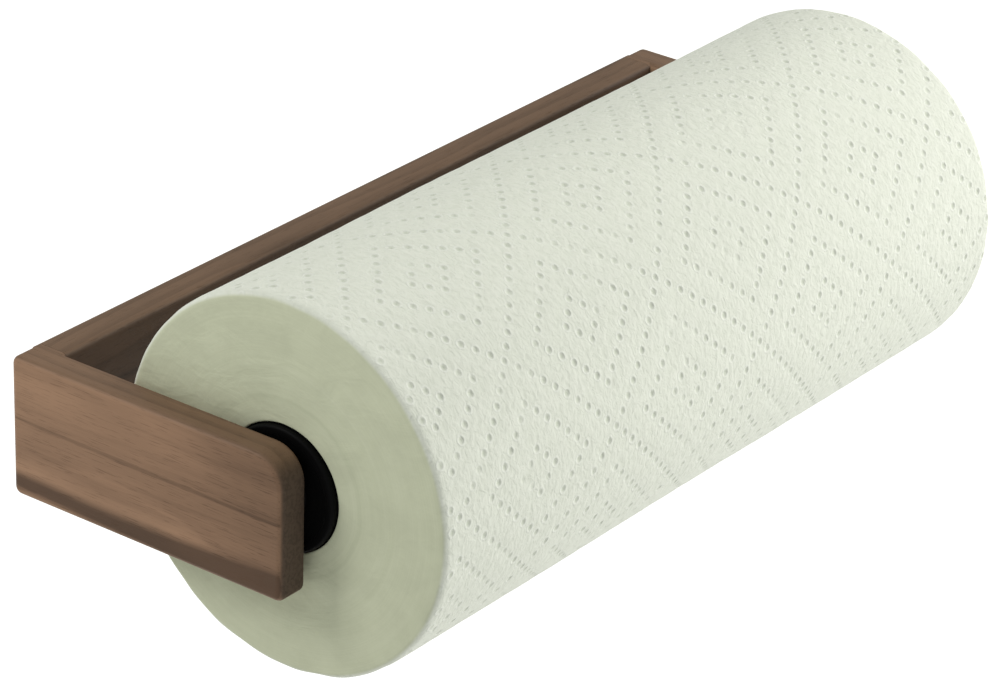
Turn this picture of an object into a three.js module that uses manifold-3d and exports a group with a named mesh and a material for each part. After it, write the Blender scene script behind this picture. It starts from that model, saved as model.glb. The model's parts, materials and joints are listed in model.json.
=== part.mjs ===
// Wall-mounted paper towel holder with a towel roll on it.
//
// Two wooden arms are dowelled to a wooden back rail. A black telescoping roller spans the arms:
// its two stub axles turn in plastic bushes, and a spring inside holds it out at its full length.
// The towel roll turns on the roller.
//
// Millimetres. X runs along the rail, the wall is the plane y = 0 and the holder stands out
// towards -Y, and z = 0 is the middle of the rail's height.

import * as THREE from 'three';
import { mergeVertices } from 'three/addons/utils/BufferGeometryUtils.js';
import Module from 'manifold-3d';

const wasm = await Module();
wasm.setup();

// ---- Driving dimensions ----

// Towel roll
const roll_length = 279.4;
const roll_radius = 58.5;
const roll_rim_round = 3;
const core_wall = 0.7;
const core_recess = 0.6;

// Wooden frame
const board_height = 45;
const arm_thickness = 11;
const rail_thickness = 12;
const edge_round = 2;
const arm_nose_radius = 10.5;
const arm_corner_radius = 2.6;
const axis_to_arm_front = 11.5;
const axis_above_middle = 5;

// Dowels that join the arms to the rail
const dowel_radius = 3;
const dowel_chamfer = 0.8;
const dowel_in_arm = 8;
const dowel_in_rail = 14;
const dowel_spacing = 22;

// Screw holes through the rail
const screw_spacing = 200;
const screw_hole_radius = 2.3;
const screw_head_radius = 4.6;

// Stub axles and the bushes they turn in
const axle_radius = 5;
const axle_chamfer = 0.8;
const bush_wall = 1.6;
const bush_floor = 1.2;
const bush_depth = 7;

// Telescoping roller
const roller_radius = 19.5;
const tube_wall = 1.5;
const inner_tube_wall = 1.4;
const tube_mouth_past_middle = 30;
const cap_head = 3.2;
const cap_rim_round = 1;
const cap_proud_of_roll = 1.6;
const cap_spigot = 14;
const cap_spigot_wall = 2;
const cap_boss_radius = 9;
const cap_boss_height = 0.6;
const collar_wall = 1.85;
const collar_length = 40;
const collar_flange = 1.5;
const seat_flange = 3;
const seat_spigot = 10;
const seat_spigot_wall = 2;
const spring_radius = 10.5;
const spring_wire_radius = 0.7;
const spring_turns = 16;
const spring_pilot_height = 6;

// Clearances
const roll_to_arm = 3.3;
const roll_to_rail = 20;
const roller_in_core = 0.5;
const core_in_paper = 0.2;
const glue_line = 0.1;
const glued_fit = 0.15;
const hole_end_room = 1;
const axle_in_bush = 0.25;
const axle_to_bush_floor = 0.3;
const sliding_fit = 0.25;
const seat_in_tube = 0.3;
const stop_room = 2;
const spring_fit = 0.4;

// Facets around a full turn
const small_facets = 24;
const tube_facets = 48;
const roll_facets = 72;

// ---- Places that follow from them ----

const roll_half = roll_length / 2;
const core_half = roll_half - core_recess;
const inner_half = roll_half + roll_to_arm;
const outer_half = inner_half + arm_thickness;
const board_half = board_height / 2;
const axis_y = -(rail_thickness + roll_to_rail + roll_radius);
const arm_front = axis_y - axis_to_arm_front;
const axis_z = axis_above_middle;

const bush_bore = axle_radius + axle_in_bush;
const bush_radius = bush_bore + bush_wall;
const axle_end = inner_half + bush_depth - bush_floor - axle_to_bush_floor;

const tube_bore = roller_radius - tube_wall;
const collar_radius = tube_bore - glued_fit;
const collar_bore = collar_radius - collar_wall;
const inner_tube_radius = collar_bore - sliding_fit;
const inner_tube_bore = inner_tube_radius - inner_tube_wall;
const core_bore = roller_radius + roller_in_core;
const core_radius = core_bore + core_wall;
const paper_bore = core_radius + core_in_paper;

const cap_face = roll_half + cap_proud_of_roll;
const cap_back = cap_face - cap_head;
const tube_mouth = tube_mouth_past_middle;
const collar_start = tube_mouth + glue_line - collar_length;
const seat_stop = collar_start - stop_room;
const seat_face = seat_stop - seat_flange;
const pilot_radius = spring_radius - spring_wire_radius - spring_fit;

// ---- Finishes ----

const walnut = { color: 0x80604a, roughness: 0.55, metalness: 0 };
const beech = { color: 0xc9a77c, roughness: 0.6, metalness: 0 };
const black_plastic = { color: 0x0b0b0c, roughness: 0.4, metalness: 0 };
const spring_steel = { color: 0x9c9fa3, roughness: 0.35, metalness: 1 };
const grey_card = { color: 0x9a8f80, roughness: 0.9, metalness: 0 };
const tissue = { color: 0xe6ebdd, roughness: 0.95, metalness: 0 };

// ---- Solids ----

// A closed manifold solid from a three.js geometry.
function solid(geometry) {
  geometry.deleteAttribute('normal');
  geometry.deleteAttribute('uv');
  const merged = mergeVertices(geometry, 1e-4);
  const corners = merged.index.array;
  const triangles = [];
  for (let i = 0; i < corners.length; i += 3) {
    const [a, b, c] = [corners[i], corners[i + 1], corners[i + 2]];
    if (a !== b && b !== c && c !== a) triangles.push(a, b, c);
  }
  return new wasm.Manifold(new wasm.Mesh({
    numProp: 3,
    vertProperties: new Float32Array(merged.attributes.position.array),
    triVerts: new Uint32Array(triangles),
  }));
}

// A named mesh of a solid, in its finish.
function piece(name, body, finish) {
  const { vertProperties, triVerts } = body.getMesh();
  const geometry = new THREE.BufferGeometry();
  geometry.setAttribute('position', new THREE.BufferAttribute(new Float32Array(vertProperties), 3));
  geometry.setIndex(new THREE.BufferAttribute(new Uint32Array(triVerts), 1));
  geometry.computeVertexNormals();
  const mesh = new THREE.Mesh(geometry, new THREE.MeshStandardMaterial(finish));
  mesh.name = name;
  return mesh;
}

// Turns a profile of [radius, x] points about the X axis. The profile starts and ends on the axis,
// or closes on itself, with x rising along its outside.
function turned(profile, facets) {
  const points = profile.map(([radius, x]) => new THREE.Vector2(radius, x));
  const geometry = new THREE.LatheGeometry(points, facets);
  const along_x = new THREE.Matrix4().makeBasis(
    new THREE.Vector3(0, 1, 0), new THREE.Vector3(1, 0, 0), new THREE.Vector3(0, 0, -1));
  return solid(geometry.applyMatrix4(along_x));
}

// A plain rod or hole about the X axis.
function rod(radius, from, to, facets) {
  return turned([[0, from], [radius, from], [radius, to], [0, to]], facets);
}

// A plain tube about the X axis.
function tube(radius, bore, from, to, facets) {
  return turned([[bore, from], [radius, from], [radius, to], [bore, to], [bore, from]], facets);
}

// The same profile, turned round to face the other way along X.
function facing_left(profile) {
  return profile.map(([radius, x]) => [radius, -x]).reverse();
}

// Points of a quarter-round corner, from one angle to the other.
function quarter_round(radius, x, size, from_degrees, to_degrees) {
  const steps = 3;
  const points = [];
  for (let i = 0; i <= steps; i += 1) {
    const angle = THREE.MathUtils.degToRad(from_degrees + (to_degrees - from_degrees) * i / steps);
    points.push([radius + size * Math.cos(angle), x + size * Math.sin(angle)]);
  }
  return points;
}

// An outline in the YZ plane, carried along X from one place to another. A bevel rounds its rims.
function boarded(outline, from, to, rim) {
  const geometry = new THREE.ExtrudeGeometry(outline, {
    depth: to - from - 2 * rim,
    curveSegments: 5,
    bevelEnabled: rim > 0,
    bevelThickness: rim,
    bevelSize: rim,
    bevelOffset: -rim,
    bevelSegments: 3,
  });
  geometry.translate(0, 0, from + rim);
  const across = new THREE.Matrix4().makeBasis(
    new THREE.Vector3(0, 1, 0), new THREE.Vector3(0, 0, 1), new THREE.Vector3(1, 0, 0));
  return solid(geometry.applyMatrix4(across));
}

// A rectangle in the YZ plane with its own radius at each corner.
function rounded_outline(front, back, bottom, top, radii) {
  const quarter = Math.PI / 2;
  const outline = new THREE.Shape();
  outline.absarc(back - radii.back, top - radii.back, radii.back, 0, quarter);
  outline.absarc(front + radii.front_top, top - radii.front_top, radii.front_top, quarter, 2 * quarter);
  outline.absarc(front + radii.front_bottom, bottom + radii.front_bottom, radii.front_bottom,
    2 * quarter, 3 * quarter);
  outline.absarc(back - radii.back, bottom + radii.back, radii.back, 3 * quarter, 4 * quarter);
  outline.closePath();
  return outline;
}

// ---- Wooden frame ----

const dowel_heights = [['upper', dowel_spacing / 2], ['lower', -dowel_spacing / 2]];
const dowel_y = -rail_thickness / 2;

function rail_outline() {
  const even = { back: edge_round, front_top: edge_round, front_bottom: edge_round };
  return rounded_outline(-rail_thickness, 0, -board_half, board_half, even);
}

function arm_outline() {
  return rounded_outline(arm_front, 0, -board_half, board_half, {
    back: arm_corner_radius,
    front_top: arm_nose_radius,
    front_bottom: arm_corner_radius,
  });
}

// A hole along X from a board's face: its mouth is at `mouth` and it goes `depth` towards `side`.
function blind_hole(radius, mouth, depth, side, y, z) {
  const ends = [mouth - side * glue_line, mouth + side * depth].sort((a, b) => a - b);
  return rod(radius, ends[0], ends[1], small_facets).translate([0, y, z]);
}

// An arm: rounded on every rim, but left full where the rail butts on, so the joint is flush.
function arm(side) {
  const [from, to] = [side * inner_half, side * outer_half].sort((a, b) => a - b);
  let body = boarded(arm_outline(), from, to, edge_round);
  const pad = [side * inner_half, side * (inner_half + edge_round)].sort((a, b) => a - b);
  body = body.add(boarded(rail_outline(), pad[0], pad[1], 0));
  const socket = blind_hole(bush_radius + glued_fit, side * inner_half, bush_depth + glue_line,
    side, axis_y, axis_z);
  body = body.subtract(socket);
  for (const [, z] of dowel_heights) {
    const depth = dowel_in_arm + hole_end_room;
    body = body.subtract(
      blind_hole(dowel_radius + glued_fit, side * inner_half, depth, side, dowel_y, z));
  }
  return body;
}

// A through hole for a wall screw, with a countersink in the rail's front face.
function screw_hole(x) {
  const sink = screw_head_radius - screw_hole_radius;
  const past = 1;
  const profile = [
    [0, -rail_thickness - past],
    [screw_head_radius, -rail_thickness - past],
    [screw_head_radius, -rail_thickness],
    [screw_hole_radius, -rail_thickness + sink],
    [screw_hole_radius, past],
    [0, past],
  ];
  const points = profile.map(([radius, y]) => new THREE.Vector2(radius, y));
  return solid(new THREE.LatheGeometry(points, small_facets)).translate([x, 0, 0]);
}

function back_rail() {
  const rail_half = inner_half - glue_line;
  let body = boarded(rail_outline(), -rail_half, rail_half, 0);
  for (const side of [-1, 1]) {
    for (const [, z] of dowel_heights) {
      const depth = dowel_in_rail + hole_end_room;
      body = body.subtract(
        blind_hole(dowel_radius + glued_fit, side * rail_half, depth, -side, dowel_y, z));
    }
    body = body.subtract(screw_hole(side * screw_spacing / 2));
  }
  return body;
}

function dowel(side) {
  const ends = [side * (inner_half - dowel_in_rail), side * (inner_half + dowel_in_arm)];
  const [from, to] = ends.sort((a, b) => a - b);
  return turned([
    [0, from],
    [dowel_radius - dowel_chamfer, from],
    [dowel_radius, from + dowel_chamfer],
    [dowel_radius, to - dowel_chamfer],
    [dowel_radius - dowel_chamfer, to],
    [0, to],
  ], small_facets);
}

// A cup let into an arm's inner face, open towards the roller.
function socket_bush(side) {
  const mouth = inner_half;
  const floor = inner_half + bush_depth - bush_floor;
  const end = inner_half + bush_depth;
  const profile = [
    [0, floor],
    [bush_bore, floor],
    [bush_bore, mouth],
    [bush_radius, mouth],
    [bush_radius, end],
    [0, end],
  ];
  return turned(side < 0 ? facing_left(profile) : profile, small_facets);
}

// ---- Telescoping roller, about its own axis ----

// The head of an end cap and its stub axle, from the cap's back face out to the axle's end.
function head_and_axle() {
  const rim = roller_radius - cap_rim_round;
  return [
    [roller_radius, cap_back],
    ...quarter_round(rim, cap_face - cap_rim_round, cap_rim_round, 0, 90),
    [cap_boss_radius, cap_face],
    [cap_boss_radius, cap_face + cap_boss_height],
    [axle_radius, cap_face + cap_boss_height],
    [axle_radius, axle_end - axle_chamfer],
    [axle_radius - axle_chamfer, axle_end],
    [0, axle_end],
  ];
}

// Closes the outer tube's end, and carries the spring on a pilot boss.
function left_end_cap() {
  const spigot_radius = tube_bore - glued_fit;
  return turned(facing_left([
    [0, cap_back - spring_pilot_height],
    [pilot_radius, cap_back - spring_pilot_height],
    [pilot_radius, cap_back],
    [spigot_radius - cap_spigot_wall, cap_back],
    [spigot_radius - cap_spigot_wall, cap_back - cap_spigot],
    [spigot_radius, cap_back - cap_spigot],
    [spigot_radius, cap_back],
    ...head_and_axle(),
  ]), tube_facets);
}

// Closes the inner tube's end. Its skirt is as wide as the outer tube, to carry the core.
function right_end_cap() {
  const spigot_radius = inner_tube_bore - glued_fit;
  const skirt_bore = inner_tube_radius + glued_fit;
  return turned([
    [0, cap_back],
    [spigot_radius - cap_spigot_wall, cap_back],
    [spigot_radius - cap_spigot_wall, cap_back - cap_spigot],
    [spigot_radius, cap_back - cap_spigot],
    [spigot_radius, cap_back],
    [skirt_bore, cap_back],
    [skirt_bore, cap_back - cap_spigot],
    [roller_radius, cap_back - cap_spigot],
    ...head_and_axle(),
  ], tube_facets);
}

// Bearing for the inner tube, glued into the outer tube's mouth. Its back end is the stop.
function guide_collar() {
  const mouth = tube_mouth + glue_line;
  return turned([
    [collar_bore, collar_start],
    [collar_radius, collar_start],
    [collar_radius, mouth],
    [roller_radius, mouth],
    [roller_radius, mouth + collar_flange],
    [collar_bore, mouth + collar_flange],
    [collar_bore, collar_start],
  ], tube_facets);
}

// Plug in the inner tube's inner end. Its flange takes the spring and stops against the collar.
function spring_seat() {
  const spigot_radius = inner_tube_bore - glued_fit;
  const flange_radius = tube_bore - seat_in_tube;
  return turned([
    [0, seat_face - spring_pilot_height],
    [pilot_radius, seat_face - spring_pilot_height],
    [pilot_radius, seat_face],
    [flange_radius, seat_face],
    [flange_radius, seat_stop],
    [spigot_radius, seat_stop],
    [spigot_radius, seat_stop + seat_spigot],
    [spigot_radius - seat_spigot_wall, seat_stop + seat_spigot],
    [spigot_radius - seat_spigot_wall, seat_stop],
    [0, seat_stop],
  ], tube_facets);
}

// The spring's wire: a helix about X whose first and last turns lie closed.
class SpringWire extends THREE.Curve {
  getPoint(t) {
    const start = -cap_back + spring_wire_radius + glue_line;
    const end = seat_face - spring_wire_radius - glue_line;
    const closed_turn = 2.2 * spring_wire_radius;
    const turn = t * spring_turns;
    const open_pitch = (end - start - 2 * closed_turn) / (spring_turns - 2);
    const open_turns = THREE.MathUtils.clamp(turn - 1, 0, spring_turns - 2);
    const x = start + closed_turn * (turn - open_turns) + open_pitch * open_turns;
    const angle = 2 * Math.PI * turn;
    return new THREE.Vector3(x, spring_radius * Math.cos(angle), spring_radius * Math.sin(angle));
  }
}

function roller_spring() {
  const steps_per_turn = 12;
  const section = new THREE.Shape();
  section.absarc(0, 0, spring_wire_radius, 0, 2 * Math.PI);
  return solid(new THREE.ExtrudeGeometry(section, {
    curveSegments: 3,
    steps: steps_per_turn * spring_turns,
    extrudePath: new SpringWire(),
  }));
}

// ---- Towel roll, about its own axis ----

// Wound paper: the corners of its outside are softened.
function paper_roll() {
  const rim = roll_radius - roll_rim_round;
  const end = roll_half - roll_rim_round;
  return turned([
    [paper_bore, -roll_half],
    ...quarter_round(rim, -end, roll_rim_round, -90, 0),
    ...quarter_round(rim, end, roll_rim_round, 0, 90),
    [paper_bore, roll_half],
    [paper_bore, -roll_half],
  ], roll_facets);
}

// ---- Assembly ----

const holder = new THREE.Group();

const frame = new THREE.Group();
frame.add(piece('back_rail', back_rail(), walnut));
frame.add(piece('left_arm', arm(-1), walnut));
frame.add(piece('right_arm', arm(1), walnut));
for (const [hand, side] of [['left', -1], ['right', 1]]) {
  for (const [level, z] of dowel_heights) {
    const pin = piece(`dowel_${hand}_${level}`, dowel(side), beech);
    pin.position.set(0, dowel_y, z);
    frame.add(pin);
  }
  const bush = piece(`${hand}_socket_bush`, socket_bush(side), black_plastic);
  bush.position.set(0, axis_y, axis_z);
  frame.add(bush);
}
holder.add(frame);

const on_axis = new THREE.Group();
on_axis.position.set(0, axis_y, axis_z);
on_axis.add(piece('left_end_cap', left_end_cap(), black_plastic));
on_axis.add(piece('roller_outer_tube',
  tube(roller_radius, tube_bore, -cap_back + glue_line, tube_mouth, tube_facets), black_plastic));
on_axis.add(piece('guide_collar', guide_collar(), black_plastic));
on_axis.add(piece('roller_spring', roller_spring(), spring_steel));
on_axis.add(piece('spring_seat', spring_seat(), black_plastic));
on_axis.add(piece('roller_inner_tube',
  tube(inner_tube_radius, inner_tube_bore, seat_stop + glue_line, cap_back - glue_line, tube_facets),
  black_plastic));
on_axis.add(piece('right_end_cap', right_end_cap(), black_plastic));
on_axis.add(piece('cardboard_core',
  tube(core_radius, core_bore, -core_half, core_half, tube_facets), grey_card));
on_axis.add(piece('paper_roll', paper_roll(), tissue));
holder.add(on_axis);

export default holder;
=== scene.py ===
"""A wall-mounted wooden paper towel holder with an embossed towel roll on its sprung roller.

The wooden boards, the roller's turned pieces and the towel roll are modelled round the working
frame, which gives their places. Metres throughout; MM turns a drawing's millimetres into metres.
"""

import json
import math

import bmesh
import bpy
import numpy as np
from mathutils import Matrix, Vector, noise


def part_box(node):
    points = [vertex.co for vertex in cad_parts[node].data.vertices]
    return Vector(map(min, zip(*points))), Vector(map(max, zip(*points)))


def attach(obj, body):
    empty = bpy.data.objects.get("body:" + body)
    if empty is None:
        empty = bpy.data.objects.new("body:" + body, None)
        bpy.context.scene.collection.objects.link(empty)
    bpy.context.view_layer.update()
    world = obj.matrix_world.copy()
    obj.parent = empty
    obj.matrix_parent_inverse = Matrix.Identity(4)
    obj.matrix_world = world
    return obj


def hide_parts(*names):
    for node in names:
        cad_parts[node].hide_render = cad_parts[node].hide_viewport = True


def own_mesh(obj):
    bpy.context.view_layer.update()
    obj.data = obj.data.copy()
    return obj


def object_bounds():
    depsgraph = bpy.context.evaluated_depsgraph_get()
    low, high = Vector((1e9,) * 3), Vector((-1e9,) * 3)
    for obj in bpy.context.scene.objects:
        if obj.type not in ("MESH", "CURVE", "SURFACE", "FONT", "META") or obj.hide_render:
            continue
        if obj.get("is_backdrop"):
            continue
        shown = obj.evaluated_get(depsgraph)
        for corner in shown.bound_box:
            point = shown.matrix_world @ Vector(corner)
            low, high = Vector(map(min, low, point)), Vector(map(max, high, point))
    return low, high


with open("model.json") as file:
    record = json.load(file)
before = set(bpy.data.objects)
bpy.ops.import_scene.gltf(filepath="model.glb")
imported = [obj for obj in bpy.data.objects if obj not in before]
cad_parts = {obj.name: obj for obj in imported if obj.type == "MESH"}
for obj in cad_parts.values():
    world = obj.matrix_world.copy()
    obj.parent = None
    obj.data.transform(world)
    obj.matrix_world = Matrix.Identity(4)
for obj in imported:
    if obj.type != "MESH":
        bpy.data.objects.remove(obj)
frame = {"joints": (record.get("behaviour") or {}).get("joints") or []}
cad_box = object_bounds()

MM = 0.001
same_place = 0.001 * MM  # two places that are nearer than this are one


# ---- Places and sizes that the frame gives ----

def joint(name):
    """The frame's entry for a joint."""
    return next(entry for entry in frame["joints"] if entry["name"] == name)


def radius_of(node):
    """The radius of a round node that lies along X."""
    low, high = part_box(node)
    return (high.z - low.z) / 2


roller_axis = Vector(joint("roller_spin")["pos_m"])
rail_low, rail_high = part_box("back_rail")
roll_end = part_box("paper_roll")[1].x
roll_radius = radius_of("paper_roll")
roller_radius = radius_of("roller_outer_tube")


# ---- Fits ----

glue_line = 0.1 * MM
glued_fit = 0.15 * MM
drill_past = 1 * MM


# ---- Sizes of the wooden frame ----

edge_round = 2 * MM
arm_corner_round = 2.6 * MM
arm_nose_round = 10.5 * MM
dowel_flutes = 12
dowel_flute_scale = 0.9
dowel_chamfer = 0.8 * MM
screw_hole_radius = 2.3 * MM
screw_head_radius = 4.6 * MM
screw_spacing = 200 * MM

dowel_nodes = ["dowel_left_upper", "dowel_left_lower", "dowel_right_upper", "dowel_right_lower"]


# ---- Sizes of the roller ----

turned_edge_round = 0.18 * MM
bush_floor = 1.2 * MM
bush_wall = 1.6 * MM
bush_lead_in = 0.5 * MM
tube_wall = 1.5 * MM
inner_tube_wall = 1.4 * MM
cap_head = 3.2 * MM
cap_rim_round = 1 * MM
cap_dish_depth = 0.35 * MM
cap_dish_margin = 1.6 * MM
cap_proud_of_roll = 1.6 * MM
cap_spigot = 14 * MM
cap_spigot_wall = 2 * MM
cap_boss_radius = 9 * MM
cap_boss_height = 0.6 * MM
axle_radius = 5 * MM
axle_chamfer = 0.8 * MM
axle_root_width = 0.6 * MM
axle_root_height = 0.3 * MM
spring_radius = 10.5 * MM
spring_wire_radius = 0.7 * MM
spring_turns = 16
spring_pilot_height = 6 * MM
spring_pilot_room = 0.4 * MM
collar_wall = 1.85 * MM
collar_flange = 1.5 * MM
seat_flange = 3 * MM
seat_spigot_wall = 2 * MM

tube_bore = roller_radius - tube_wall
inner_tube_radius = radius_of("roller_inner_tube")
inner_tube_bore = inner_tube_radius - inner_tube_wall
cap_face = roll_end + cap_proud_of_roll
cap_back = cap_face - cap_head
axle_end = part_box("right_end_cap")[1].x
pilot_radius = spring_radius - spring_wire_radius - spring_pilot_room
seat_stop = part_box("roller_inner_tube")[0].x - glue_line
seat_face = seat_stop - seat_flange


# ---- Sizes of the towel roll ----

core_wall = 0.7 * MM
core_in_paper = 0.2 * MM
paper_over_cap = 0.35 * MM
paper_lip_depth = 0.5 * MM
roll_rim_round = 2 * MM

core_radius = radius_of("cardboard_core")
core_bore = core_radius - core_wall
paper_bore = core_radius + core_in_paper
paper_lip = roller_radius + paper_over_cap
roll_girth = 2 * math.pi * roll_radius

# The emboss is pressed at crossings of a lattice: rows along the roll, columns round it.
emboss_rows = 110
emboss_columns = 75
emboss_first_column = -10.5
emboss_along = 3.6 * MM
emboss_round = roll_girth / emboss_rows
emboss_ring_count = 5
emboss_middle = -97 * MM
emboss_start = 0.5 * emboss_round
dimple_inset = 0.95 * MM
dimple_depth = 0.42 * MM

# The last turn of paper starts at its free tail, and each sheet ends at a perforation.
ply_step = 0.35 * MM
tail_turn = math.radians(244)
tail_plain = 6 * MM
tail_edge = 0.5 * MM
tail_free_length = 14 * MM
tail_lift = 0.5 * MM
closing_row = 0.01 * MM
perforation = 84 * emboss_round
slit_half = 0.2 * MM
slit_inset = 0.4 * slit_half

# The wound paper is a little uneven: all round, at its rims, and on its ends.
swell_height = 0.42 * MM
rim_wobble_height = 0.6 * MM
rim_wobble_reach = 14 * MM
end_relief_height = 0.70 * MM
end_relief_inset = 2.2 * MM
end_thickness = 0.1 * MM


# ---- Emboss pattern ----

def ring_at(number):
    """Which square ring of the emboss the nearest lattice line belongs to, from 0 to 5."""
    return abs((round(number) + emboss_ring_count) % (2 * emboss_ring_count) - emboss_ring_count)


def is_dimple(column, row):
    """Square rings of dimples, one in every two rings, on a lattice of ten steps."""
    one, two = (column + row) / 2, (column - row) / 2
    return one == int(one) and max(ring_at(one), ring_at(two)) % 2 == 1


# ---- Modelling ----

def clear_selection():
    """Deselects every object."""
    bpy.ops.object.select_all(action="DESELECT")


def settle(name):
    """Names the object that was just added, and puts its place into its mesh."""
    piece = bpy.context.object
    piece.name = name
    piece.data.name = name
    bpy.ops.object.transform_apply(location=True, rotation=True, scale=True)
    return piece


def take(piece):
    """Makes a piece the only one selected, and the active one."""
    clear_selection()
    piece.select_set(True)
    bpy.context.view_layer.objects.active = piece


def edit(piece, corners=False, edges=False, faces=False):
    """Opens a piece in edit mode with nothing selected, picking corners, edges or faces."""
    take(piece)
    bpy.ops.object.mode_set(mode="EDIT")
    bpy.context.tool_settings.mesh_select_mode = (corners, edges, faces)
    bpy.ops.mesh.select_all(action="DESELECT")
    return bmesh.from_edit_mesh(piece.data)


def leave_edit():
    """Goes back to object mode, which puts the edits into the mesh."""
    bpy.ops.object.mode_set(mode="OBJECT")


def apply_modifier(piece, kind, **settings):
    """Adds a modifier with its settings, and applies it."""
    modifier = piece.modifiers.new(kind.lower(), kind)
    for setting, value in settings.items():
        setattr(modifier, setting, value)
    take(piece)
    bpy.ops.object.modifier_apply(modifier=modifier.name)


def combine(piece, other, operation):
    """Joins another solid to a piece, or cuts it away, and uses the other one up."""
    apply_modifier(piece, "BOOLEAN", operation=operation, solver="EXACT", object=other)
    bpy.data.objects.remove(other)


def smooth(piece, degrees=32):
    """Shades a piece smooth, except over edges that turn by more than this."""
    take(piece)
    bpy.ops.object.shade_smooth_by_angle(angle=math.radians(degrees))


def round_edges(piece, chosen, width, segments):
    """Bevels the edges whose two ends pass the test."""
    mesh = edit(piece, edges=True)
    for edge in mesh.edges:
        edge.select_set(chosen(*(corner.co for corner in edge.verts)))
    bmesh.update_edit_mesh(piece.data)
    bpy.ops.mesh.bevel(offset=width, segments=segments, affect="EDGES", clamp_overlap=True)
    leave_edit()


def along_x(a, b):
    """Whether an edge between two places leads along X."""
    return abs(a.x - b.x) > same_place


def across_x(a, b):
    """Whether an edge between two places lies square to X."""
    return not along_x(a, b)


def on_line(place, y, z):
    """Whether a place is on the line along X at this depth and height."""
    return abs(place.y - y) < same_place and abs(place.z - z) < same_place


def block(name, low, high):
    """A block with its faces square to the axes, from one corner to the opposite one."""
    clear_selection()
    bpy.ops.mesh.primitive_cube_add(size=1, location=(low + high) / 2, scale=high - low)
    return settle(name)


def round_bar(name, radius, start, end, vertices=64):
    """A round bar from one point to another."""
    clear_selection()
    along = end - start
    bpy.ops.mesh.primitive_cylinder_add(
        vertices=vertices, radius=radius, depth=along.length,
        location=(start + end) / 2, rotation=along.to_track_quat("Z", "Y").to_euler())
    return settle(name)


def drawn_line(name, points):
    """A line drawn from point to point by extruding one corner."""
    clear_selection()
    bpy.ops.mesh.primitive_plane_add(size=1 * MM, location=points[0])
    piece = settle(name)
    edit(piece, corners=True)
    bpy.ops.mesh.select_all(action="SELECT")
    bpy.ops.mesh.merge(type="CENTER")
    for here, there in zip(points, points[1:]):
        bpy.ops.mesh.extrude_vertices_move(TRANSFORM_OT_translate={"value": there - here})
    leave_edit()
    return piece


def turned(name, profile, steps=96):
    """Spins a profile of (radius, x) points about the roller's axis, and softens its edges."""
    points = [Vector((x, roller_axis.y, roller_axis.z + radius)) for radius, x in profile]
    piece = drawn_line(name, points)
    edit(piece, corners=True)
    bpy.ops.mesh.select_all(action="SELECT")
    bpy.ops.mesh.spin(steps=steps, angle=2 * math.pi, center=roller_axis, axis=(1, 0, 0))
    bpy.ops.mesh.select_all(action="SELECT")
    bpy.ops.mesh.remove_doubles(threshold=0.002 * MM)
    bpy.ops.mesh.normals_make_consistent(inside=False)
    leave_edit()
    apply_modifier(piece, "BEVEL", width=turned_edge_round, segments=2, limit_method="ANGLE",
                   angle_limit=math.radians(35))
    smooth(piece)
    return piece


def facing_left(profile):
    """The same profile for a piece at the left end."""
    return [(radius, -x) for radius, x in profile]


def stands_for(piece, body, slot, node):
    """Sets the body that a piece moves with, and hides the node that it replaces. The slot is not
    used.
    """
    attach(piece, body)
    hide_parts(node)


# ---- Shader building ----

class Value:
    """A number that varies over a surface. Arithmetic on it adds Math nodes."""

    def __init__(self, finish, socket):
        self.finish = finish
        self.socket = socket

    def math(self, operation, *operands):
        """A Math node of these numbers and values."""
        made = self.finish.node("ShaderNodeMath", {"operation": operation},
                                dict(enumerate(operands)))
        return Value(self.finish, made.outputs[0])

    def __add__(self, other):
        return self.math("ADD", self, other)

    def __sub__(self, other):
        return self.math("SUBTRACT", self, other)

    def __mul__(self, other):
        return self.math("MULTIPLY", self, other)

    def __truediv__(self, other):
        return self.math("DIVIDE", self, other)

    def __pow__(self, other):
        return self.math("POWER", self, other)

    def __mod__(self, other):
        return self.math("FLOORED_MODULO", self, other)

    def __abs__(self):
        return self.math("ABSOLUTE", self)

    def __round__(self):
        return self.math("ROUND", self)

    def __rsub__(self, other):
        return self.math("SUBTRACT", other, self)

    def __rtruediv__(self, other):
        return self.math("DIVIDE", other, self)

    __radd__ = __add__
    __rmul__ = __mul__

    def larger(self, other):
        """The larger of the two."""
        return self.math("MAXIMUM", self, other)

    def smaller(self, other):
        """The smaller of the two."""
        return self.math("MINIMUM", self, other)

    def rise(self, start, end):
        """0 below start and 1 above end, with a smooth step between; it falls if end is lower."""
        made = self.finish.node(
            "ShaderNodeMapRange", {"interpolation_type": "SMOOTHSTEP"},
            {"Value": self, "From Min": min(start, end), "From Max": max(start, end),
             "To Min": float(start > end), "To Max": float(start < end)})
        return Value(self.finish, made.outputs[0])


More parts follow.
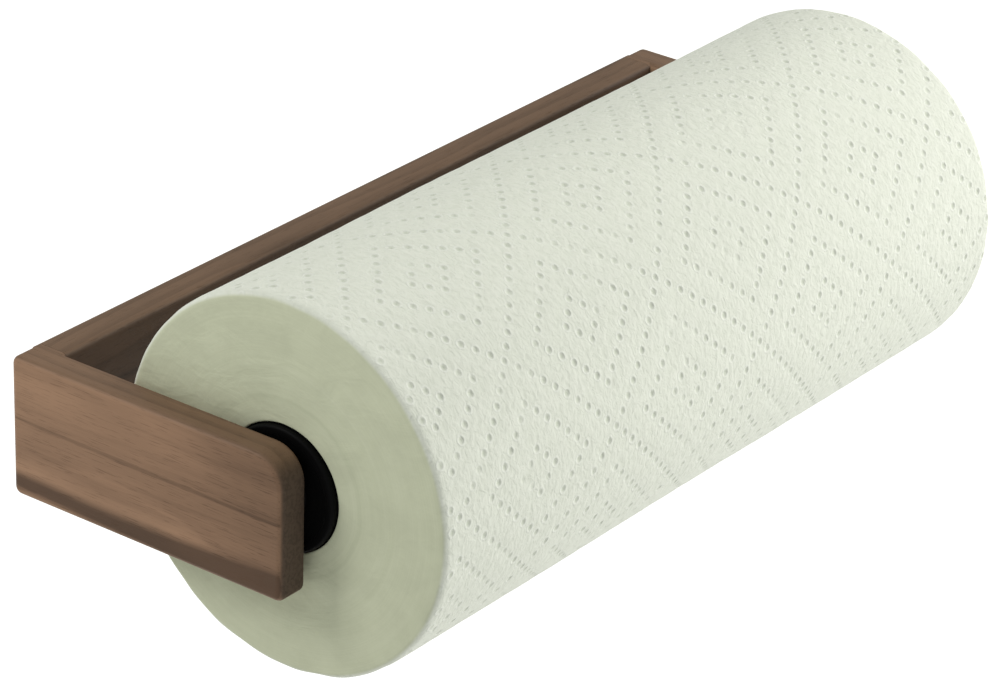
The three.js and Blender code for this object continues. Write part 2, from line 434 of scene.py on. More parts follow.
class Finish:
    """A material in the making."""

    def __init__(self, name):
        self.material = bpy.data.materials.new(name)
        self.material.use_nodes = True
        self.tree = self.material.node_tree
        self.tree.nodes.clear()
        self.object_place = self.node("ShaderNodeTexCoord").outputs["Object"]

    def node(self, kind, settings=None, sockets=None):
        """Adds a node. Its settings come first, then the values or links of its sockets."""
        made = self.tree.nodes.new(kind)
        for setting, value in (settings or {}).items():
            setattr(made, setting, value)
        for name, value in (sockets or {}).items():
            source = value.socket if isinstance(value, Value) else value
            if isinstance(source, bpy.types.NodeSocket):
                self.tree.links.new(source, made.inputs[name])
            else:
                made.inputs[name].default_value = source
        return made

    def axes(self, vector):
        """The three numbers of a vector."""
        parts = self.node("ShaderNodeSeparateXYZ", None, {0: vector})
        return [Value(self, output) for output in parts.outputs]

    def vector(self, x, y, z):
        """A vector of three numbers."""
        return self.node("ShaderNodeCombineXYZ", None, {0: x, 1: y, 2: z}).outputs[0]

    def facing(self):
        """How much the surface faces along X, Y and Z, from 0 to 1."""
        normal = self.node("ShaderNodeTexCoord").outputs["Normal"]
        return [abs(part) for part in self.axes(normal)]

    def noise(self, place, scale=1.0, detail=3.0, roughness=0.5, distortion=0.0):
        """Smooth random blotches, from 0 to 1."""
        made = self.node("ShaderNodeTexNoise", None,
                         {"Vector": place, "Scale": scale, "Detail": detail,
                          "Roughness": roughness, "Distortion": distortion})
        return Value(self, made.outputs["Fac"])

    def mix(self, share, one, other, blend="MIX"):
        """A colour between two others, or one laid on the other."""
        made = self.node("ShaderNodeMix",
                         {"data_type": "RGBA", "blend_type": blend, "clamp_factor": True},
                         {0: share, 6: one, 7: other})
        return made.outputs[2]

    def shade(self, colour, factor):
        """A colour made darker or lighter by a number."""
        made = self.node("ShaderNodeVectorMath", {"operation": "SCALE"},
                         {"Vector": colour, "Scale": factor})
        return made.outputs[0]

    def bump(self, height, distance, normal=None):
        """A normal for a relief: height from 0 to 1, of that many metres."""
        sockets = {"Height": height, "Distance": distance, "Strength": 1.0}
        if normal is not None:
            sockets["Normal"] = normal
        return self.node("ShaderNodeBump", None, sockets).outputs[0]

    def finished(self, colour, roughness, normal, **constants):
        """Connects the shader, with the constants that are the same all over."""
        sockets = {"Base Color": colour, "Roughness": roughness, "Normal": normal}
        sockets.update({name.replace("_", " "): value for name, value in constants.items()})
        shader = self.node("ShaderNodeBsdfPrincipled", None, sockets)
        self.node("ShaderNodeOutputMaterial", None, {"Surface": shader.outputs[0]})
        return self.material


def diagonal(across, up):
    """The length of the diagonal of two values."""
    return (across * across + up * up) ** 0.5


def rgb(red, green, blue):
    """A colour for a socket, opaque."""
    return (red, green, blue, 1.0)


# ---- Finishes ----

def oiled_wood(name, along, board, face_tone, edge_tone, streaks, painted_front_shade=0.0):
    """Oiled brown wood. along is the grain's axis, 0 for X or 1 for Y, and board tells boards apart.

    streaks are dark lines along the grain: (height, half width, strength)."""
    finish = Finish(name)
    place = finish.axes(finish.object_place)
    facing = finish.facing()
    grain, thickness, height = place[along], place[1 - along], place[2]
    end_grain = facing[along].rise(0.55, 0.98)
    broad_face = facing[1 - along].rise(0.5, 0.95)

    # Growth rings, and the fibres, bands, pores and clouds that lie along the grain.
    wander = finish.noise(finish.vector(grain * 9, thickness * 40, height * 34 + 7 * board), detail=2)
    waver = (wander - 0.5) * 2
    pith = diagonal(thickness - 0.021 + 0.004 * board, height + 0.008 * waver - 0.011)
    ring = (pith / (5.2 * MM) + waver * 0.8) % 1
    late_wood = ring.rise(0.35, 0.92) * ring.rise(1.0, 0.93)
    fibre_place = finish.vector(grain * 60, thickness * 2600, height * 2600)
    fibre = finish.noise(fibre_place, detail=3, roughness=0.6)
    band_place = finish.vector(grain * 7, thickness * 150 + 3 * board, height * 150)
    band = finish.noise(band_place, detail=4, roughness=0.62, distortion=0.3)
    pore_place = finish.vector(grain * 150, thickness * 3600 + board, height * 3600)
    pore = finish.noise(pore_place, detail=1).rise(0.60, 0.72)
    cloud = finish.noise(finish.vector(grain * 24, thickness * 50, height * 60 + board), detail=2)

    # Colour: darker where the grain or a streak says, painted shade towards the board's front end,
    # and dark brown on end grain.
    # Broad faces take face_tone; on the rail that tone holds painted shade as well as oil.
    tone = finish.mix(broad_face, edge_tone, face_tone)
    tone = finish.mix(cloud.rise(0.30, 0.75) * 0.45, tone, finish.shade(tone, 1.45))
    dark = late_wood * 0.20 + band.rise(0.42, 0.80) * 0.34 + (fibre - 0.5) * 0.22 + pore * 0.26
    for level, half_width, strength in streaks:
        away = abs(height - level + 0.0035 * waver + (band - 0.5) * 0.003)
        dark = dark + away.rise(half_width, half_width * 0.15) * broad_face * strength
    # Painted shade: the broad faces grow darker towards the board's front end; the last factor sets
    # how strong.
    dark = dark + (abs(grain) + (band - 0.5) * 0.02).rise(0.045, 0.105) * broad_face * painted_front_shade
    dark = dark.larger(0).smaller(0.9)
    reddish = rgb(0.36, 0.20, 0.13)
    tone = finish.mix(dark, tone, finish.mix(0.35, finish.shade(tone, 0.28), reddish, "MULTIPLY"))
    open_pores = finish.noise(finish.vector(grain * 900, thickness * 900, height * 900), detail=2)
    end_tone = finish.mix(open_pores.rise(0.42, 0.62) * 0.5, rgb(0.098, 0.066, 0.047),
                          rgb(0.050, 0.033, 0.023))
    colour = finish.mix(end_grain, tone, end_tone)

    roughness = 0.50 + 0.16 * pore + 0.10 * band + 0.16 * end_grain
    relief = finish.bump(fibre * 0.5 + (1 - pore) * 0.5, 0.05 * MM)
    relief = finish.bump(late_wood * 0.4 + cloud, 0.05 * MM, relief)
    return finish.finished(colour, roughness, relief, Specular_IOR_Level=0.25)


def pale_dowel_wood():
    """Plain beech: short darker flecks along the grain, which runs along X."""
    finish = Finish("pale_dowel_wood")
    along, across, up = finish.axes(finish.object_place)
    end_grain = finish.facing()[0].rise(0.6, 0.95)
    fibre = finish.noise(finish.vector(along * 80, across * 2400, up * 2400), detail=3)
    fleck = finish.noise(finish.vector(along * 320, across * 2600, up * 900), detail=1)
    fleck = fleck.rise(0.62, 0.70)
    colour = finish.mix(fibre, rgb(0.62, 0.45, 0.27), rgb(0.50, 0.34, 0.19))
    colour = finish.mix(fleck * 0.5 + end_grain * 0.3, colour, rgb(0.30, 0.18, 0.09))
    relief = finish.bump(fibre, 0.06 * MM)
    return finish.finished(colour, 0.62 + 0.12 * fibre, relief, Specular_IOR_Level=0.3)


def moulded_black():
    """Black moulded plastic with a fine satin grain and faint flow marks."""
    finish = Finish("moulded_black")
    along, across, up = finish.axes(finish.object_place)
    radius = diagonal(across - roller_axis.y, up - roller_axis.z)
    grain = finish.noise(finish.object_place, scale=2600, detail=2)
    flow = finish.noise(finish.vector(along * 40, radius * 420, across * 25), detail=2)
    rub = finish.noise(finish.object_place, scale=130, detail=3).rise(0.50, 0.78)
    colour = finish.mix(flow, rgb(0.0018, 0.0018, 0.0020), rgb(0.0036, 0.0036, 0.0038))
    roughness = 0.46 + 0.10 * flow + 0.14 * rub
    relief = finish.bump(grain, 0.02 * MM)
    relief = finish.bump(flow, 0.02 * MM, relief)
    return finish.finished(colour, roughness, relief, Specular_IOR_Level=0.06)


def spring_wire():
    """Bright drawn wire with a little oil on it."""
    finish = Finish("spring_wire")
    drawn = finish.noise(finish.object_place, scale=1900, detail=3)
    oil = finish.noise(finish.object_place, scale=160, detail=2).rise(0.45, 0.70)
    colour = finish.mix(oil * 0.5, rgb(0.56, 0.57, 0.59), rgb(0.30, 0.28, 0.25))
    relief = finish.bump(drawn, 0.01 * MM)
    return finish.finished(colour, 0.24 + 0.14 * drawn + 0.10 * oil, relief, Metallic=1.0)


def wound_card():
    """Grey-brown recycled card: fibres, specks, and the butt of the strip winding round the tube."""
    finish = Finish("wound_card")
    along, across, up = finish.axes(finish.object_place)
    turn = up.math("ARCTAN2", up - roller_axis.z, across - roller_axis.y)
    strip = (along / (70 * MM) + turn / (2 * math.pi)) % 1
    butt = abs(strip - 0.5).rise(0.012, 0.004)
    fibre = finish.noise(finish.object_place, scale=900, detail=4, roughness=0.65)
    speck = finish.noise(finish.object_place, scale=2300, detail=1).rise(0.66, 0.74)
    colour = finish.mix(fibre, rgb(0.26, 0.23, 0.18), rgb(0.36, 0.32, 0.26))
    colour = finish.mix(speck * 0.5 + butt * 0.6, colour, rgb(0.13, 0.11, 0.09))
    relief = finish.bump(fibre - butt * 0.8, 0.08 * MM)
    return finish.finished(colour, 0.85 + 0.1 * fibre, relief, Specular_IOR_Level=0.2)


def tissue_paper():
    """Soft embossed paper on the roll's side, and its wound edges on the roll's ends."""
    finish = Finish("tissue_paper")
    along, across, up = finish.axes(finish.object_place)
    flat = finish.node("ShaderNodeUVMap", {"uv_map": "flat_sheet"}).outputs[0]
    round_way = finish.axes(flat)[1]
    radius = diagonal(across - roller_axis.y, up - roller_axis.z)
    side = radius.rise(roll_radius - 1.9 * MM, roll_radius - 0.7 * MM)

    # Dimples: one wherever a square ring of the emboss passes through a crossing of its lattice,
    # each with a raised lip. The same masks paint shade into the dimples and a highlight on their
    # lips.
    step_one = (along - emboss_middle) / (2 * emboss_along)
    step_two = (round_way - emboss_start) / (2 * emboss_round)
    one, two = step_one + step_two, step_one - step_two
    ring = ring_at(one).larger(ring_at(two))
    near_one, near_two = one - round(one), two - round(two)
    away = diagonal((near_one + near_two) * emboss_along, (near_one - near_two) * emboss_round)
    pressed = finish.noise(finish.vector(along * 55, round_way * 55, 7.0), detail=2)
    pressed = (ring % 2) * side * pressed.rise(0.20, 0.55)
    dimple_and_shade = away.rise(1.25 * MM, 0.10 * MM) * pressed
    lip_and_highlight = away.rise(2.0 * MM, 1.35 * MM) * away.rise(0.8 * MM, 1.35 * MM) * pressed

    # The paper's own surface on the side, then its layers and wrinkles on the ends.
    crepe = finish.noise(finish.vector(along * 1100, round_way * 240, 2.0), detail=3)
    fibre = finish.noise(finish.object_place, scale=1500, detail=4, roughness=0.7)
    pucker = finish.noise(finish.vector(along * 170, round_way * 230, 0.0), detail=2)
    crinkle_and_shade = finish.noise(finish.vector(along * 520, round_way * 430, 5.0), detail=2,
                           distortion=0.6)
    layer = finish.noise(finish.vector(radius * 2600, round_way * 14, along * 30), detail=2)
    layers = finish.noise(finish.vector(radius * 420, round_way * 9, 3.0), detail=3)
    wrinkle = finish.noise(finish.vector(across * 70, up * 120, 4.0), detail=3, distortion=0.8)
    worn_ring = abs(radius - 27.5 * MM + (wrinkle - 0.5) * 2 * MM).rise(1.2 * MM, 0.2 * MM)

    # Colour of the side and of the ends.
    side_tone = finish.mix(pucker, rgb(0.785, 0.815, 0.715), rgb(0.835, 0.855, 0.770))
    # Painted shade in the dimples.
    side_tone = finish.mix(dimple_and_shade * 0.48, side_tone, rgb(0.48, 0.53, 0.41))
    # Painted shade in the hollows of the crinkles.
    side_tone = finish.mix(crinkle_and_shade.rise(0.55, 0.30) * 0.14, side_tone, rgb(0.56, 0.60, 0.50))
    # Painted highlight on the dimples' lips.
    side_tone = finish.mix(lip_and_highlight * 0.32, side_tone, rgb(0.90, 0.92, 0.87))
    side_tone = finish.mix(crepe.rise(0.45, 0.75) * 0.12, side_tone, rgb(0.60, 0.64, 0.55))
    end_tone = finish.mix(layers, rgb(0.62, 0.650, 0.470), rgb(0.68, 0.705, 0.530))
    end_tone = finish.mix(layer.rise(0.35, 0.60) * 0.08, end_tone, rgb(0.42, 0.46, 0.31))
    mottle = finish.noise(finish.vector(across * 90, up * 90, along * 20), detail=4, roughness=0.6)
    end_tone = finish.mix(mottle.rise(0.35, 0.72) * 0.20, end_tone, rgb(0.44, 0.46, 0.33))
    end_tone = finish.mix(worn_ring * 0.16, end_tone, rgb(0.42, 0.46, 0.31))
    colour = finish.mix(side, end_tone, side_tone)

    side_relief = crepe * 0.5 + fibre * 0.10 + pucker * 1.2 + crinkle_and_shade * 2.0 - dimple_and_shade * 1.1 + lip_and_highlight * 0.6
    end_relief = layer * 0.12 + layers * 0.4 + wrinkle * 3.2 + mottle * 1.0 + fibre * 0.1
    relief = finish.bump(side_relief * side + end_relief * (1 - side), 0.20 * MM)
    return finish.finished(colour, 0.86 + 0.10 * fibre, relief, Specular_IOR_Level=0.15,
                           Sheen_Weight=0.12, Sheen_Roughness=0.5)


# ---- Wooden frame ----

def dowel_holes(piece):
    """Drills for each dowel that reaches into the board, a little deeper than the dowel."""
    for node in dowel_nodes:
        low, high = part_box(node)
        middle = (low + high) / 2
        hole_radius = radius_of(node) + glued_fit
        start = Vector((low.x - drill_past, middle.y, middle.z))
        end = Vector((high.x + drill_past, middle.y, middle.z))
        board_x = [corner[0] for corner in piece.bound_box]
        if start.x < max(board_x) and end.x > min(board_x):
            combine(piece, round_bar("drill", hole_radius, start, end, 48), "DIFFERENCE")


def wooden_arm(side, finish):
    """An arm: rounded on every rim, and left full where the rail butts on."""
    name = "left_arm" if side < 0 else "right_arm"
    low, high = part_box(name)
    inner = min(abs(low.x), abs(high.x))
    arm = block(f"{name}_board", low, high)
    round_edges(arm, lambda a, b: on_line(a, low.y, high.z) and on_line(b, low.y, high.z),
                arm_nose_round, 12)
    corners = [(low.y, low.z), (high.y, low.z), (high.y, high.z)]
    round_edges(arm, lambda a, b: any(on_line(a, *c) and on_line(b, *c) for c in corners),
                arm_corner_round, 6)
    round_edges(arm, across_x, edge_round, 6)

    pad_ends = sorted([side * inner, side * (inner + edge_round)])
    pad = block("pad", Vector((pad_ends[0], rail_low.y, rail_low.z)),
                Vector((pad_ends[1], rail_high.y, rail_high.z)))
    round_edges(pad, along_x, edge_round, 6)
    combine(arm, pad, "UNION")

    bush = "left_socket_bush" if side < 0 else "right_socket_bush"
    bush_low, bush_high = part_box(bush)
    depth = bush_high.x - bush_low.x + glue_line
    mouth = Vector((side * (inner - drill_past), roller_axis.y, roller_axis.z))
    bottom = Vector((side * (inner + depth), roller_axis.y, roller_axis.z))
    combine(arm, round_bar("drill", radius_of(bush) + glued_fit, mouth, bottom, 96), "DIFFERENCE")
    dowel_holes(arm)
    smooth(arm)
    arm.data.materials.append(finish)
    stands_for(arm, "frame", "brown_wood", name)


def countersink_drill(x):
    """A drill for a screw hole through the rail, widening at 45 degrees to take the screw's head."""
    past = Vector((0, drill_past, 0))
    sunk = Vector((0, screw_head_radius - screw_hole_radius, 0))
    front = Vector((x, rail_low.y, 0))
    back = Vector((x, rail_high.y, 0))
    drill = round_bar("drill", screw_hole_radius, front + sunk, back + past)
    mesh = edit(drill, faces=True)
    for face in mesh.faces:
        face.select_set(face.normal.y < -0.9)
    bmesh.update_edit_mesh(drill.data)
    widening = (screw_head_radius + drill_past) / screw_hole_radius
    bpy.ops.mesh.extrude_region_move(TRANSFORM_OT_translate={"value": -sunk - past})
    bpy.ops.transform.resize(value=(widening, 1, widening), center_override=front - past)
    leave_edit()
    return drill


def wooden_rail(finish):
    """The back rail: long edges rounded, ends square, two countersunk screw holes."""
    rail = block("back_rail_board", rail_low, rail_high)
    round_edges(rail, along_x, edge_round, 6)
    for side in (-1, 1):
        combine(rail, countersink_drill(side * screw_spacing / 2), "DIFFERENCE")
    dowel_holes(rail)
    smooth(rail)
    rail.data.materials.append(finish)
    stands_for(rail, "frame", "brown_wood", "back_rail")


def fluted_dowels(finish):
    """A dowel with chamfered ends and straight glue flutes, made once and copied to its places."""
    low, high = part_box(dowel_nodes[0])
    middle = (low + high) / 2
    radius = radius_of(dowel_nodes[0])
    start, end = Vector((low.x, middle.y, middle.z)), Vector((high.x, middle.y, middle.z))
    first = round_bar("dowel", radius, start, end, vertices=4 * dowel_flutes)
    round_edges(first, across_x, dowel_chamfer, 2)
    mesh = edit(first, corners=True)
    for corner in mesh.verts:
        angle = math.atan2(corner.co.z - middle.z, corner.co.y - middle.y)
        flute = angle / (2 * math.pi) * dowel_flutes
        corner.select_set(abs(flute - round(flute)) < 0.01)
    bmesh.update_edit_mesh(first.data)
    bpy.ops.transform.resize(value=(1, dowel_flute_scale, dowel_flute_scale),
                             center_override=middle)
    leave_edit()
    smooth(first, 50)
    first.data.materials.append(finish)
    for node in dowel_nodes:
        node_low, node_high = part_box(node)
        pin = first.copy()
        pin.data = first.data.copy()
        pin.name = pin.data.name = f"{node}_fluted"
        bpy.context.collection.objects.link(pin)
        pin.data.transform(Matrix.Translation((node_low + node_high) / 2 - middle))
        stands_for(pin, "frame", "dowel_wood", node)
    bpy.data.objects.remove(first)


# ---- Roller ----

def socket_bush(side, finish):
    """A cup let into an arm: a lead-in round its mouth and a closed floor."""
    name = "left_socket_bush" if side < 0 else "right_socket_bush"
    low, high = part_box(name)
    mouth, end = sorted([abs(low.x), abs(high.x)])
    radius = radius_of(name)
    bore = radius - bush_wall
    profile = [(0, end - bush_floor), (bore, end - bush_floor), (bore, mouth + bush_lead_in),
               (bore + bush_lead_in, mouth), (radius, mouth), (radius, end), (0, end)]
    bush = turned(f"{name}_cup", facing_left(profile) if side < 0 else profile, steps=64)
    bush.data.materials.append(finish)
    stands_for(bush, "frame", "black_plastic", name)


def head_and_axle():
    """An end cap's head, boss and stub axle, from its back face out to the axle's end."""
    rim = cap_rim_round
    dish = cap_dish_depth
    dish_radius = roller_radius - rim - cap_dish_margin
    arc = [(roller_radius - rim + rim * math.cos(a), cap_face - rim + rim * math.sin(a))
           for a in (math.radians(step) for step in range(0, 91, 15))]
    return [(roller_radius, cap_back), *arc,
            (dish_radius, cap_face),
            (dish_radius - dish, cap_face - dish),
            (cap_boss_radius + dish, cap_face - dish),
            (cap_boss_radius, cap_face + cap_boss_height),
            (axle_radius + axle_root_width, cap_face + cap_boss_height),
            (axle_radius, cap_face + cap_boss_height + axle_root_height),
            (axle_radius, axle_end - axle_chamfer),
            (axle_radius - axle_chamfer, axle_end),
            (0, axle_end)]


def end_caps(finish):
    """The left cap fits in the outer tube and has the spring's pilot; the right one has a skirt."""
    spigot = tube_bore - glued_fit
    left = turned("left_cap", facing_left([
        (0, cap_back - spring_pilot_height), (pilot_radius, cap_back - spring_pilot_height),
        (pilot_radius, cap_back), (spigot - cap_spigot_wall, cap_back),
        (spigot - cap_spigot_wall, cap_back - cap_spigot), (spigot, cap_back - cap_spigot),
        (spigot, cap_back), *head_and_axle()]), steps=128)
    left.data.materials.append(finish)
    stands_for(left, "roller", "black_plastic", "left_end_cap")

    spigot = inner_tube_bore - glued_fit
    skirt_bore = inner_tube_radius + glued_fit
    right = turned("right_cap", [
        (0, cap_back), (spigot - cap_spigot_wall, cap_back),
        (spigot - cap_spigot_wall, cap_back - cap_spigot), (spigot, cap_back - cap_spigot),
        (spigot, cap_back), (skirt_bore, cap_back), (skirt_bore, cap_back - cap_spigot),
        (roller_radius, cap_back - cap_spigot), *head_and_axle()], steps=128)
    right.data.materials.append(finish)
    stands_for(right, "plunger", "black_plastic", "right_end_cap")


def plain_tube(name, node, body, bore, slot, finish):
    """A tube that is as long and wide as its node."""
    low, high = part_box(node)
    radius = radius_of(node)
    profile = [(bore, low.x), (radius, low.x), (radius, high.x), (bore, high.x), (bore, low.x)]
    piece = turned(name, profile)
    piece.data.materials.append(finish)
    stands_for(piece, body, slot, node)


def guide_collar(finish):
    """Bearing in the outer tube's mouth, with a flange over the tube's end."""
    low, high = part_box("guide_collar")
    mouth = high.x - collar_flange
    outer = tube_bore - glued_fit
    bore = outer - collar_wall
    collar = turned("collar", [
        (bore, low.x), (outer, low.x), (outer, mouth), (roller_radius, mouth),
        (roller_radius, high.x), (bore, high.x), (bore, low.x)])
    collar.data.materials.append(finish)
    stands_for(collar, "roller", "black_plastic", "guide_collar")


def spring_seat(finish):
    """Plug in the inner tube's end, which the spring presses on."""
    low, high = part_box("spring_seat")
    spigot = inner_tube_bore - glued_fit
    flange = radius_of("spring_seat")
    seat = turned("seat", [
        (0, low.x), (pilot_radius, low.x), (pilot_radius, seat_face), (flange, seat_face),
        (flange, seat_stop), (spigot, seat_stop), (spigot, high.x),
        (spigot - seat_spigot_wall, high.x), (spigot - seat_spigot_wall, seat_stop),
        (0, seat_stop)])
    seat.data.materials.append(finish)
    stands_for(seat, "plunger", "black_plastic", "spring_seat")


def coil_spring(finish):
    """Round wire wound in open turns, with the first and the last turn lying closed."""
    low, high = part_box("roller_spring")
    start, end = low.x + spring_wire_radius, high.x - spring_wire_radius
    closed_pitch = 2.2 * spring_wire_radius
    open_pitch = (end - start - 2 * closed_pitch) / (spring_turns - 2)
    turn_steps = 32
    wire = bpy.data.curves.new("spring_line", "CURVE")
    wire.dimensions = "3D"
    line = wire.splines.new("POLY")
    line.points.add(turn_steps * spring_turns)
    for index, point in enumerate(line.points):
        turn = index / turn_steps
        open_turns = min(max(turn - 1, 0), spring_turns - 2)
        x = start + closed_pitch * (turn - open_turns) + open_pitch * open_turns
        angle = 2 * math.pi * turn
        point.co = (x, roller_axis.y + spring_radius * math.cos(angle),
                    roller_axis.z + spring_radius * math.sin(angle), 1)
    wire.bevel_depth = spring_wire_radius
    wire.bevel_resolution = 4
    wire.use_fill_caps = True
    spring = bpy.data.objects.new("coil", wire)
    bpy.context.collection.objects.link(spring)
    take(spring)
    bpy.ops.object.convert(target="MESH")
    spring = bpy.context.object
    edit(spring, corners=True)
    bpy.ops.mesh.select_all(action="SELECT")
    bpy.ops.mesh.remove_doubles(threshold=0.005 * MM)
    bpy.ops.mesh.normals_make_consistent(inside=False)
    leave_edit()
    smooth(spring, 60)
    spring.data.materials.append(finish)
    stands_for(spring, "roller", "spring_steel", "roller_spring")
    travel = joint("plunger_slide")["range_m"][1]
    fixed_end = Vector((-cap_back, roller_axis.y, roller_axis.z))
    1 - travel / (seat_face + cap_back)
    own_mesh(spring)


# ---- Towel roll ----

def roll_profile():
    """The roll's section from the left bore round the outside to the right bore and back."""
    first_column = emboss_middle + emboss_first_column * emboss_along
    columns = [first_column + emboss_along * i for i in range(emboss_columns + 1)]
    side_end = roll_end - roll_rim_round
    side = [(x, roll_radius) for x in (-side_end, *columns, side_end)]
    rim = roll_radius - roll_rim_round
    right = [(side_end + roll_rim_round * math.sin(a), rim + roll_rim_round * math.cos(a))
             for a in map(math.radians, (30, 60, 90))]
    right += [(roll_end, radius) for radius in np.linspace(rim, paper_bore, 13)[1:]]
    lip_start = roll_end - paper_lip_depth
    right += [(roll_end, paper_lip), (lip_start, paper_lip), (lip_start, paper_bore)]
    left = [(-x, radius) for x, radius in reversed(right)]
    bore = [(x, paper_bore) for x in np.linspace(lip_start, -lip_start, 7)[1:]]
    return left + side + right + bore


def press_in(sheet, chosen, inset, depth):
    """Presses in the faces of the flat sheet whose middles pass the test, each on its own."""
    mesh = edit(sheet, faces=True)
    for face in mesh.faces:
        middle = face.calc_center_median()
        face.select_set(bool(chosen(middle.x, middle.y)))
    bmesh.update_edit_mesh(sheet.data)
    bpy.ops.mesh.inset(thickness=inset, use_individual=True)
    bpy.ops.transform.translate(value=(0, 0, -depth))
    leave_edit()


def flat_corners(sheet):
    """The corners of the sheet as rows of a table."""
    return np.array([corner.co for corner in sheet.data.vertices])


def flat_sheet(columns):
    """A flat grid as long as the roll's girth, with lines for its emboss, perforation and tail."""
    rows = np.sort([0, tail_edge, roll_girth - tail_edge, roll_girth, roll_girth + closing_row,
                    perforation - slit_half, perforation + slit_half,
                    *(y for y in (emboss_round * i for i in range(1, emboss_rows))
                      if y != perforation)])
    clear_selection()
    bpy.ops.mesh.primitive_grid_add(x_subdivisions=len(columns) - 1,
                                    y_subdivisions=len(rows) - 1, size=1)
    sheet = settle("towel_roll")
    flat = flat_corners(sheet)
    column_of = np.rint((flat[:, 0] + 0.5) * (len(columns) - 1)).astype(int)
    row_of = np.rint((flat[:, 1] + 0.5) * (len(rows) - 1)).astype(int)
    flat[:, 0], flat[:, 1] = columns[column_of], rows[row_of]
    sheet.data.vertices.foreach_set("co", flat.ravel())
    return sheet


def towel_roll(finish):
    """The outer turn of paper: embossed and perforated flat, then wound and closed at its ends."""
    profile = roll_profile()
    steps = [math.dist(a, b) for a, b in zip(profile, profile[1:])]
    columns = np.concatenate([[0], np.cumsum(steps)])
    roll = flat_sheet(columns)

    side_end = roll_end - roll_rim_round
    side_start = columns[profile.index((-side_end, roll_radius))]

    def is_embossed(column, y):
        x = column - side_start - side_end
        lattice = [(x - emboss_middle) / emboss_along, (y - emboss_start) / emboss_round]
        on_lattice = all(abs(number - round(number)) < 0.05 for number in lattice)
        inside = abs(x) < side_end and tail_plain < y < roll_girth - tail_plain
        return on_lattice and inside and is_dimple(*map(round, lattice))

    def is_perforated(column, y):
        x = column - side_start - side_end
        return abs(x) < side_end and abs(y - perforation) < 0.5 * slit_half

    press_in(roll, is_embossed, dimple_inset, dimple_depth)
    press_in(roll, is_perforated, slit_inset, ply_step)

    flat = flat_corners(roll)
    sheet_map = roll.data.uv_layers[0]
    sheet_map.name = "flat_sheet"
    corner_of = np.array([loop.vertex_index for loop in roll.data.loops])
    sheet_map.data.foreach_set("uv", flat[corner_of, :2].ravel())
    wind(roll, flat, columns, np.array(profile))

    edit(roll, corners=True)
    bpy.ops.mesh.select_all(action="SELECT")
    bpy.ops.mesh.remove_doubles(threshold=0.004 * MM)
    bpy.ops.mesh.normals_make_consistent(inside=False)
    leave_edit()
    apply_modifier(roll, "SUBSURF", levels=1, render_levels=1)
    smooth(roll, 60)
    roll.data.materials.append(finish)
    stands_for(roll, "towel", "towel_paper", "paper_roll")


def wind(roll, flat, columns, profile):
    """Winds the flat sheet round the roll as one turn of a spiral, a little uneven as paper is."""
    x = np.interp(flat[:, 0], columns, profile[:, 0])
    radius = np.interp(flat[:, 0], columns, profile[:, 1])
    outward = (radius - paper_bore) / (roll_radius - paper_bore)
    part = np.clip(flat[:, 1] / roll_girth, 0, 1)
    part[flat[:, 1] > roll_girth + closing_row / 2] = 0
    turn = tail_turn + 2 * math.pi * part
    loose = np.clip(1 - part * roll_girth / tail_free_length, 0, 1) ** 2
    for index, (along, angle) in enumerate(zip(x, turn)):
        way_round = Vector((math.cos(angle), math.sin(angle), 0))
        end = math.copysign(1, along)
        swell = noise.fractal(way_round * 1.8 + Vector((0, 0, along * 9)), 1, 2, 3)
        flap = 0.5 + noise.fractal(Vector((along * 22, 0.5, 3.0)), 1, 2, 2)
        wobble = noise.fractal(way_round * 7 + Vector((0, 0, 40 * end)), 1, 2, 3)
        rim = max(0, 1 - (roll_end - abs(along)) / rim_wobble_reach) ** 2
        on_end = noise.fractal(way_round * radius[index] * 34 + Vector((0, 0, 5 + along)), 1, 2, 3)
        uneven = swell_height * swell + rim_wobble_height * wobble * rim
        tail = tail_lift * loose[index] * flap - ply_step * part[index]
        radius[index] += outward[index] * (uneven + tail)
        if radius[index] < roll_radius - end_relief_inset and abs(along) > roll_end - end_thickness:
            x[index] += end * end_relief_height * (on_end - 0.30)
    radius += flat[:, 2]
    placed = np.stack([x, roller_axis.y - radius * np.sin(turn),
                       roller_axis.z + radius * np.cos(turn)], axis=1)
    roll.data.vertices.foreach_set("co", placed.ravel())
    roll.data.update()


# ---- Camera, light and floor ----

def set_camera():
    """Looks down on the left end from the front left."""
    azimuth, elevation, tilt = map(math.radians, (-53.131, 26.333, 1.78))
    aim = Vector((-21.8 * MM, -76.6 * MM, 0))
    distance = 1.3636
    back = Vector((math.sin(azimuth) * math.cos(elevation),
                   -math.cos(azimuth) * math.cos(elevation), math.sin(elevation)))
    level = Vector((math.cos(azimuth), math.sin(azimuth), 0))
    upright = back.cross(level)
    right = math.cos(tilt) * level + math.sin(tilt) * upright
    up = math.cos(tilt) * upright - math.sin(tilt) * level
    clear_selection()
    bpy.ops.object.camera_add()
    camera = bpy.context.object
    camera.data.sensor_width = 36
    camera.data.lens = 162.86
    camera.data.clip_start = 0.01
    place = Matrix((right, up, back)).transposed().to_4x4()
    place.translation = aim + back * distance
    camera.matrix_world = place
    bpy.context.scene.camera = camera


def pale_floor():
    """Matt white, glowing towards the back right as if lit from beyond it."""
    finish = Finish("pale_floor")
    speckle = finish.noise(finish.object_place, scale=40, detail=2)
    colour = finish.mix(speckle, rgb(0.90, 0.90, 0.90), rgb(0.93, 0.93, 0.92))
    right_way, back_way, _ = finish.axes(finish.object_place)
    behind = (right_way * 0.8 + back_way * 0.6).rise(-0.3, 0.7)
    glow = finish.mix(behind, rgb(0.12, 0.12, 0.12), rgb(1, 1, 1))
    return finish.finished(colour, 0.9 + 0.05 * speckle, finish.bump(speckle, 0.1 * MM),
                           Emission_Color=glow, Emission_Strength=0.70)


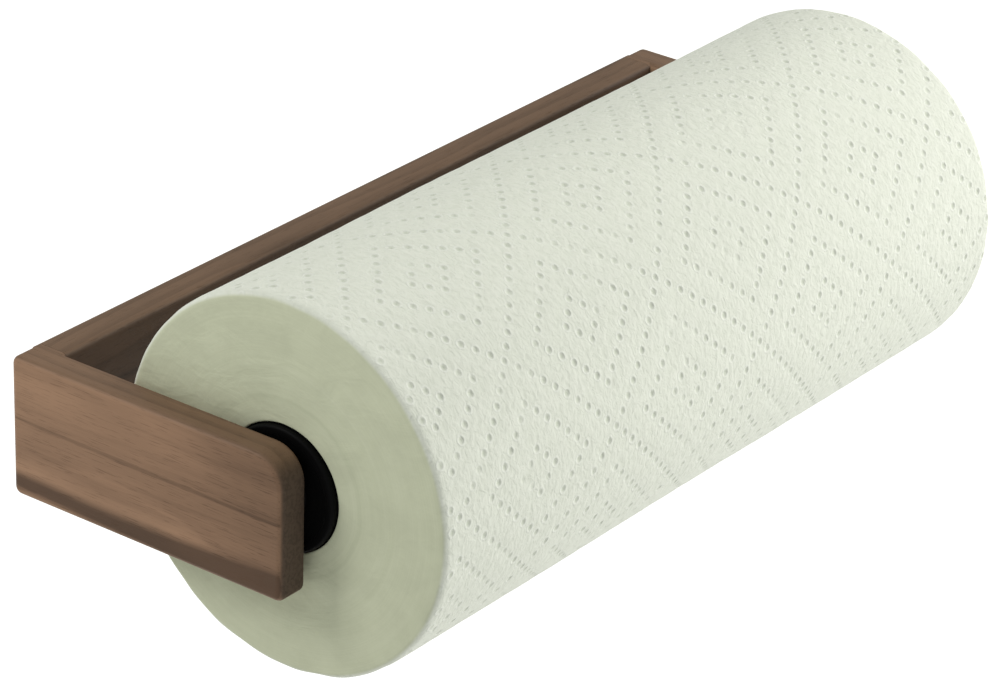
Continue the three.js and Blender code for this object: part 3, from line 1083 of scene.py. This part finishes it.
def set_floor():
    """A wide floor, well below the holder."""
    clear_selection()
    bpy.ops.mesh.primitive_plane_add(size=14, location=(0, 0, -0.6))
    floor = settle("floor")
    floor.data.materials.append(pale_floor())
    floor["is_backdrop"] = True


def set_surround():
    """Dim light from all round."""
    world = bpy.data.worlds.new("surround")
    bpy.context.scene.world = world
    world.use_nodes = True
    surround = world.node_tree.nodes["Background"].inputs
    surround["Color"].default_value = rgb(0.98, 1.0, 0.96)
    surround["Strength"].default_value = 0.49
    bpy.context.scene.view_settings.view_transform = "Standard"


def softbox(name, place, aim, size, power, colour):
    """A square area light that points at a place."""
    bpy.ops.object.light_add(type="AREA", location=place)
    lamp = bpy.context.object
    lamp.name = name
    lamp.data.size = size
    lamp.data.energy = power
    lamp.data.color = colour
    lamp.rotation_euler = (Vector(place) - Vector(aim)).to_track_quat("Z", "Y").to_euler()


# ---- The holder and its roll on the stage ----

set_camera()
set_floor()
set_surround()
softbox("key_light", (0.60, -0.40, 0.55), (0.10, -0.09, 0), 0.4, 2.3, (1.0, 0.985, 0.965))
softbox("front_light", (0.80, -0.9, 0.25), (0.10, -0.1, 0), 0.7, 5.5, (1.0, 0.985, 0.965))
softbox("left_light", (-0.50, 0.22, 0.40), (-0.14, -0.08, 0), 0.22, 1.2, (1.0, 0.985, 0.96))

arm_face = rgb(0.350, 0.208, 0.128)
arm_edge = rgb(0.205, 0.124, 0.076)
rail_edge = rgb(0.165, 0.101, 0.062)
# The rail's broad faces are dark from oil and from painted shade, standing in for the shadow between
# the roll and the rail.
rail_face_oil_and_shade = rgb(0.080, 0.047, 0.029)
# The left arm's wide low streak is a dark streak in the wood and also painted shade along the arm's
# lower part.
left_grain = oiled_wood("oiled_wood_left", 1, 0, arm_face, arm_edge,
                        [(-18.0 * MM, 5.5 * MM, 0.90), (2.5 * MM, 1.0 * MM, 0.30)], 0.26)
right_grain = oiled_wood("oiled_wood_right", 1, 2, arm_face, arm_edge,
                         [(-12.0 * MM, 2.4 * MM, 0.40), (9.0 * MM, 1.4 * MM, 0.30)], 0.2)
rail_grain = oiled_wood("oiled_wood_rail", 0, 1, rail_face_oil_and_shade, rail_edge,
                        [(6.0 * MM, 2.0 * MM, 0.35), (-9.0 * MM, 1.5 * MM, 0.30)])
wooden_arm(-1, left_grain)
wooden_arm(1, right_grain)
wooden_rail(rail_grain)
fluted_dowels(pale_dowel_wood())

black = moulded_black()
socket_bush(-1, black)
socket_bush(1, black)
end_caps(black)
plain_tube("outer_tube", "roller_outer_tube", "roller", tube_bore, "black_plastic", black)
plain_tube("inner_tube", "roller_inner_tube", "plunger", inner_tube_bore, "black_plastic", black)
guide_collar(black)
spring_seat(black)
coil_spring(spring_wire())

plain_tube("card_tube", "cardboard_core", "towel", core_bore, "core_card", wound_card())
towel_roll(tissue_paper())

size_rows = {"cad": [list(corner) for corner in cad_box],
             "visual": [list(corner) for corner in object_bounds()]}
